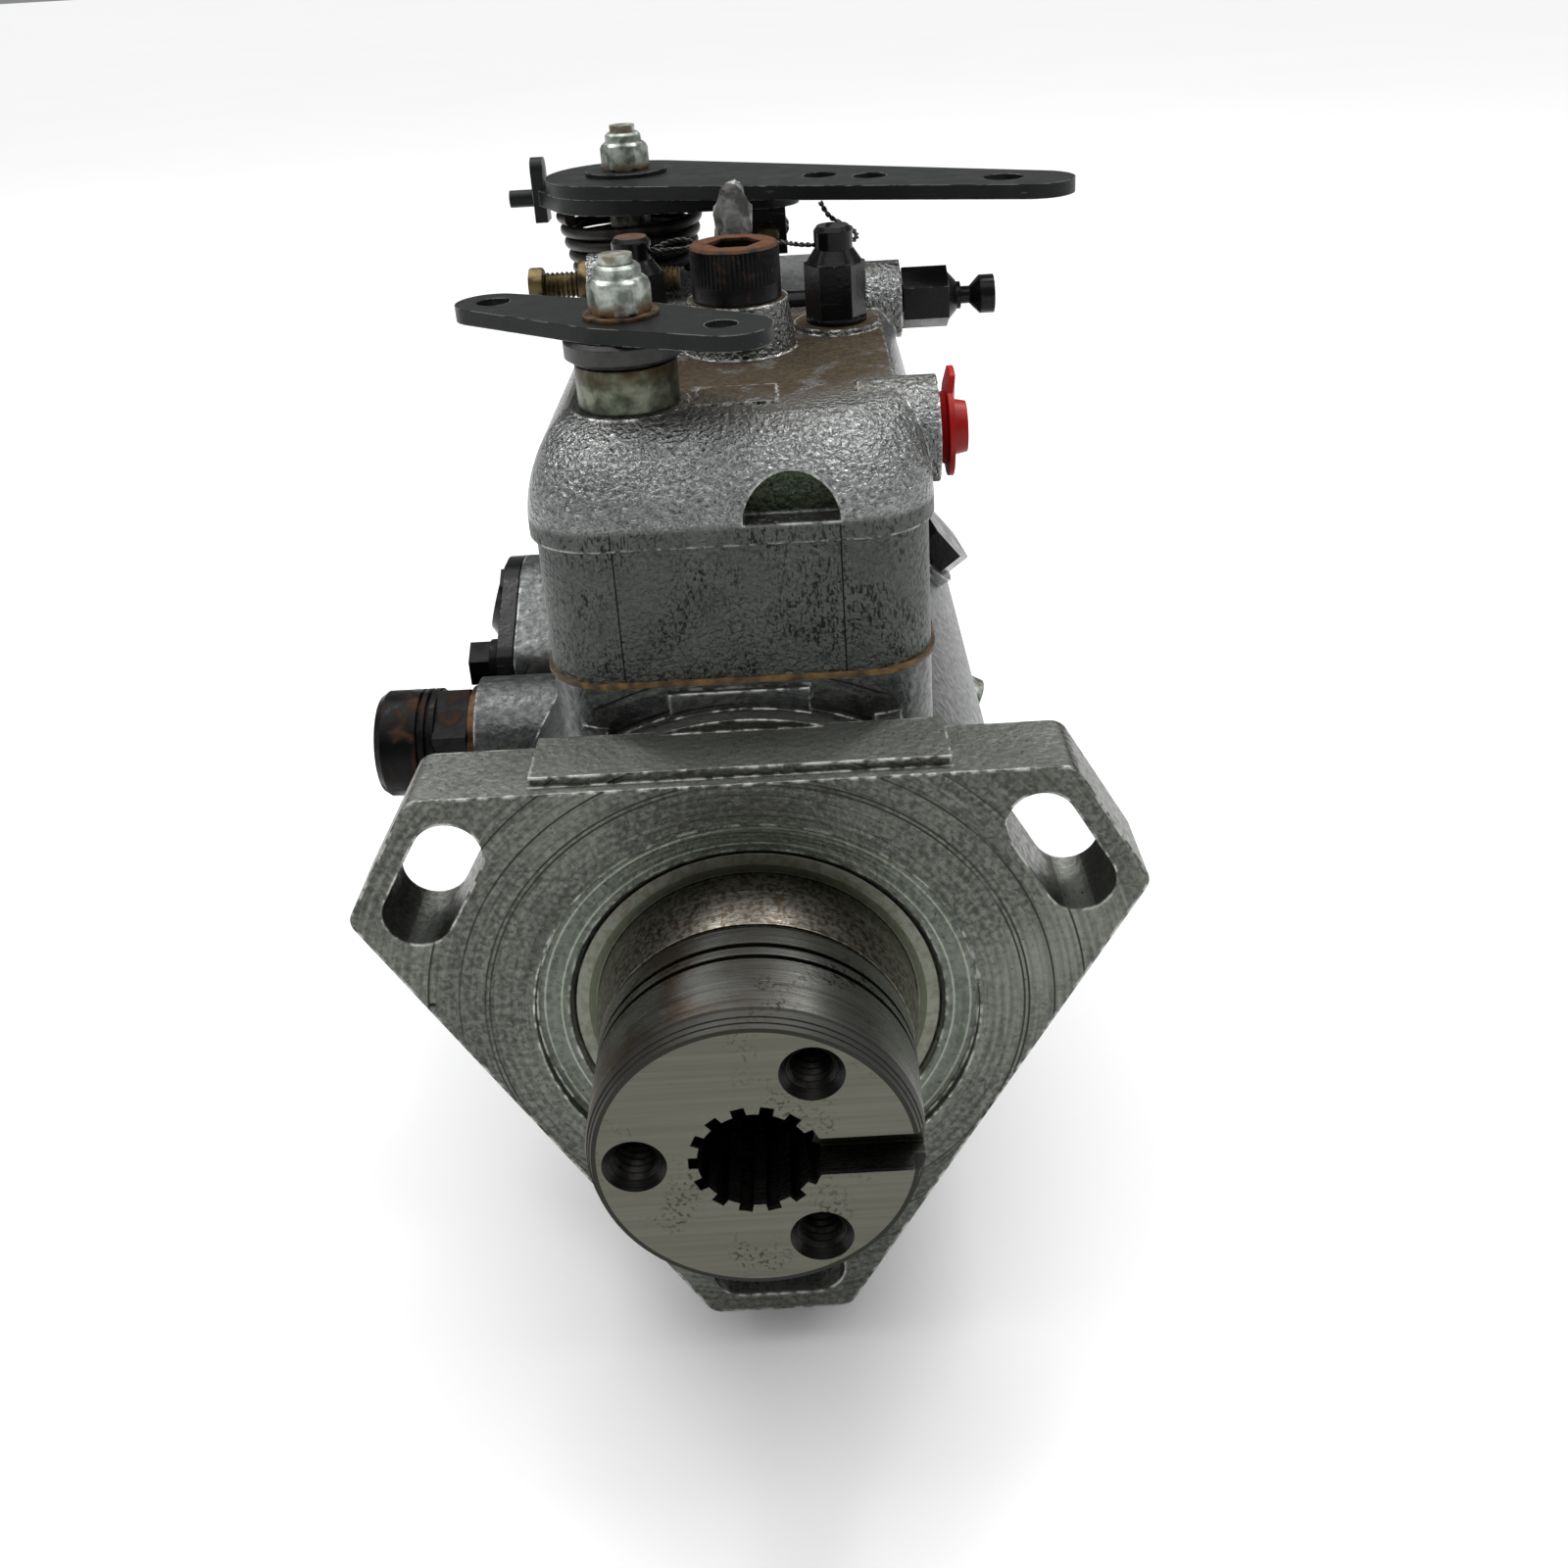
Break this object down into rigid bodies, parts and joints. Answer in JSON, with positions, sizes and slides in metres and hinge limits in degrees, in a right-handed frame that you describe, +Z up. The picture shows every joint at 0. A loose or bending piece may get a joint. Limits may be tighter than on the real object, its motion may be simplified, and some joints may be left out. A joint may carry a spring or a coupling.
{
  "type": "diesel injection pump",
  "caption": "Rotary fuel injection pump with a slotted triangular flange, splined drive hub, governor cover and throttle and stop levers.",
  "frame": {"origin": "centre of the flange's mounting face, on the drive axis", "axes": "+Y along the drive shaft, away from the drive end; +Z up towards the control levers; +X to the right seen from the drive end"},
  "size_m": [0.1296, 0.2064, 0.1844],
  "materials": {
    "cast_aluminium": "die-cast and machined, worn",
    "machined_aluminium": "turned",
    "bright_steel": "ground, slight brown tint",
    "black_steel": "black oxide, chipped edges",
    "zinc_steel": "zinc plated, corroded",
    "yellow_zinc": "yellow passivated",
    "rusty_steel": "rusted",
    "spring_steel": "oiled",
    "bronze": "plain",
    "copper": "dull",
    "gasket_board": "oil soaked",
    "rubber_black": "matt",
    "red_plastic": "glossy",
    "lead": "crimped"
  },
  "bodies": {
    "base": {"pump_housing": "cast_aluminium", "governor_cover": "cast_aluminium", "cover_gasket": "gasket_board", "oil_seals": "rubber_black", "hub_bush": "bronze", "governor_bracket": "bright_steel", "hydraulic_head": "bright_steel", "outlet_unions": "zinc_steel", "transfer_pump_liner": "bright_steel", "end_plate": "machined_aluminium", "end_plate_bolts": "zinc_steel", "regulating_spring": "spring_steel", "regulating_plug": "zinc_steel", "inlet_union": "zinc_steel", "advance_housing": "cast_aluminium", "advance_plugs": "zinc_steel", "shut_off_sleeve": "zinc_steel", "throttle_spring": "spring_steel", "cover_studs_and_cap_nuts": "black_steel", "vent_screw": "rusty_steel", "max_speed_screw_and_nut": "black_steel", "idle_speed_screw_and_nut": "yellow_zinc", "return_port_plug": "red_plastic", "union_washer": "copper", "side_union": "rusty_steel", "inspection_cover": "zinc_steel", "inspection_cover_bolts": "zinc_steel", "head_locating_fitting": "black_steel", "head_locking_screw": "black_steel", "seal_wire": "spring_steel", "lead_seal": "lead"},
    "drive_line": {"drive_hub": "bright_steel", "hub_screw": "black_steel", "drive_shaft": "bright_steel", "weight_carrier": "bright_steel", "distributor_rotor": "bright_steel", "plungers_shoes_and_rollers": "bright_steel", "transfer_pump_rotor_and_blades": "bright_steel"},
    "flyweight_a": {"flyweight_1": "bright_steel"},
    "flyweight_b": {"flyweight_2": "bright_steel"},
    "flyweight_c": {"flyweight_3": "bright_steel"},
    "flyweight_d": {"flyweight_4": "bright_steel"},
    "sleeve": {"thrust_sleeve": "bright_steel"},
    "governor": {"governor_arm_and_link": "bright_steel", "governor_spring": "spring_steel"},
    "metering": {"metering_valve": "bright_steel"},
    "shut_off": {"shut_off_spindle": "zinc_steel", "shut_off_dust_cap": "rubber_black", "shut_off_lever": "black_steel", "shut_off_nut_and_washer": "zinc_steel"},
    "shut_off_slider": {"shut_off_bar": "bright_steel"},
    "throttle": {"throttle_spindle": "zinc_steel", "throttle_lever": "black_steel", "throttle_stop_plate": "black_steel", "throttle_nut_and_washer": "zinc_steel", "throttle_stop_screw": "yellow_zinc"},
    "cam": {"cam_ring_and_pin": "bright_steel"},
    "advance": {"advance_piston": "bright_steel", "advance_spring": "spring_steel"},
    "regulator": {"regulating_piston": "bright_steel"}
  },
  "joints": [
    {"name": "drive_turn", "type": "hinge", "parent": "base", "child": "drive_line", "pos_m": [0, 0, 0], "axis": [0, 1, 0], "continuous": true},
    {"name": "flyweight_a_swing", "type": "hinge", "parent": "drive_line", "child": "flyweight_a", "pos_m": [0.017, 0.039, 0], "axis": [0, 0, -1], "range_deg": [0, 14.4]},
    {"name": "flyweight_b_swing", "type": "hinge", "parent": "drive_line", "child": "flyweight_b", "pos_m": [0, 0.039, 0.017], "axis": [1, 0, 0], "range_deg": [0, 14.4]},
    {"name": "flyweight_c_swing", "type": "hinge", "parent": "drive_line", "child": "flyweight_c", "pos_m": [-0.017, 0.039, 0], "axis": [0, 0, 1], "range_deg": [0, 14.4]},
    {"name": "flyweight_d_swing", "type": "hinge", "parent": "drive_line", "child": "flyweight_d", "pos_m": [0, 0.039, -0.017], "axis": [-1, 0, 0], "range_deg": [0, 14.4]},
    {"name": "sleeve_slide", "type": "slide", "parent": "drive_line", "child": "sleeve", "axis": [0, 1, 0], "range_m": [0, 0.0022]},
    {"name": "governor_arm_swing", "type": "hinge", "parent": "base", "child": "governor", "pos_m": [0, 0.068, 0.024], "axis": [1, 0, 0], "range_deg": [0, 5.4]},
    {"name": "metering_valve_turn", "type": "hinge", "parent": "base", "child": "metering", "pos_m": [0.003, 0.118, 0.03], "axis": [0, 0, -1], "range_deg": [0, 20.1]},
    {"name": "shut_off_lever_turn", "type": "hinge", "parent": "base", "child": "shut_off", "pos_m": [-0.014, 0.0354, 0.098], "axis": [0, 0, -1], "range_deg": [0, 35]},
    {"name": "shut_off_bar_slide", "type": "slide", "parent": "base", "child": "shut_off_slider", "axis": [0, 1, 0], "range_m": [0, 0.00302]},
    {"name": "throttle_lever_turn", "type": "hinge", "parent": "base", "child": "throttle", "pos_m": [-0.0205, 0.125, 0.105], "axis": [0, 0, 1], "range_deg": [0, 48], "stiffness_Nm_per_rad": 0.15, "springref_deg": -34.38},
    {"name": "cam_ring_turn", "type": "hinge", "parent": "base", "child": "cam", "pos_m": [0, 0.093, 0], "axis": [0, -1, 0], "range_deg": [0, 5.3]},
    {"name": "advance_piston_slide", "type": "slide", "parent": "base", "child": "advance", "axis": [1, 0, 0], "range_m": [0, 0.0049]},
    {"name": "regulating_piston_slide", "type": "slide", "parent": "base", "child": "regulator", "axis": [0, 0, 1], "range_m": [0, 0.003], "stiffness_N_per_m": 200, "deforming": ["regulating_spring"]}
  ],
  "couplings": [
    {"joint": "flyweight_a_swing", "follows": "sleeve_slide", "rad_per_m": 113.6},
    {"joint": "flyweight_b_swing", "follows": "sleeve_slide", "rad_per_m": 113.6},
    {"joint": "flyweight_c_swing", "follows": "sleeve_slide", "rad_per_m": 113.6},
    {"joint": "flyweight_d_swing", "follows": "sleeve_slide", "rad_per_m": 113.6},
    {"joint": "governor_arm_swing", "follows": "sleeve_slide", "rad_per_m": 42.5},
    {"joint": "metering_valve_turn", "follows": "sleeve_slide", "rad_per_m": 158.7},
    {"joint": "shut_off_bar_slide", "follows": "shut_off_lever_turn", "m_per_rad": 0.004922},
    {"joint": "advance_piston_slide", "follows": "cam_ring_turn", "m_per_rad": 0.0525}
  ]
}
